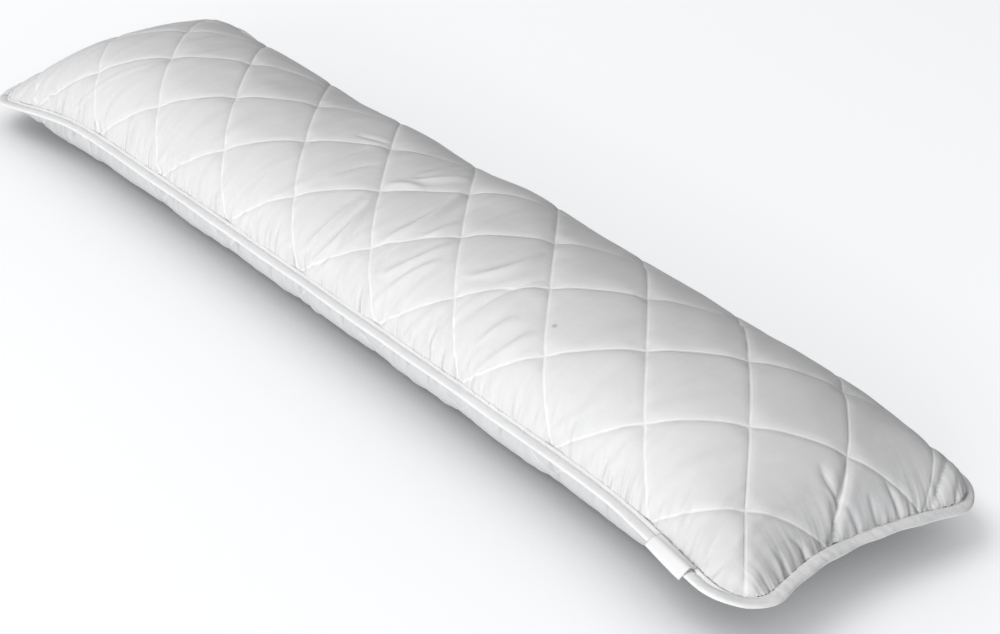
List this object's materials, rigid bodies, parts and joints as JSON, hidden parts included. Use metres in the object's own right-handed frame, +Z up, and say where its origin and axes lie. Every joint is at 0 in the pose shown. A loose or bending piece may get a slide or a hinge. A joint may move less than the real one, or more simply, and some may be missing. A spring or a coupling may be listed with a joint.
{
  "type": "body pillow",
  "caption": "Long body pillow, filled and quilted in diamonds, lying flat, with a folded tape binding over its edge seam and a blank label tab near one corner.",
  "frame": {"origin": "on the surface the pillow lies on, under the middle of the whole object", "axes": "+X along the pillow towards the end near the label, +Y across it away from the labelled long side, +Z up through the crown"},
  "size_m": [1.457, 0.4102, 0.1617],
  "materials": {
    "cover": "fine matt woven microfibre, quilted",
    "binding": "matt folded woven tape",
    "label": "smooth blank satin ribbon"
  },
  "bodies": {
    "root": {"quilted_pillow": "cover", "edge_binding": "binding", "label_tab": "label"}
  },
  "joints": []
}
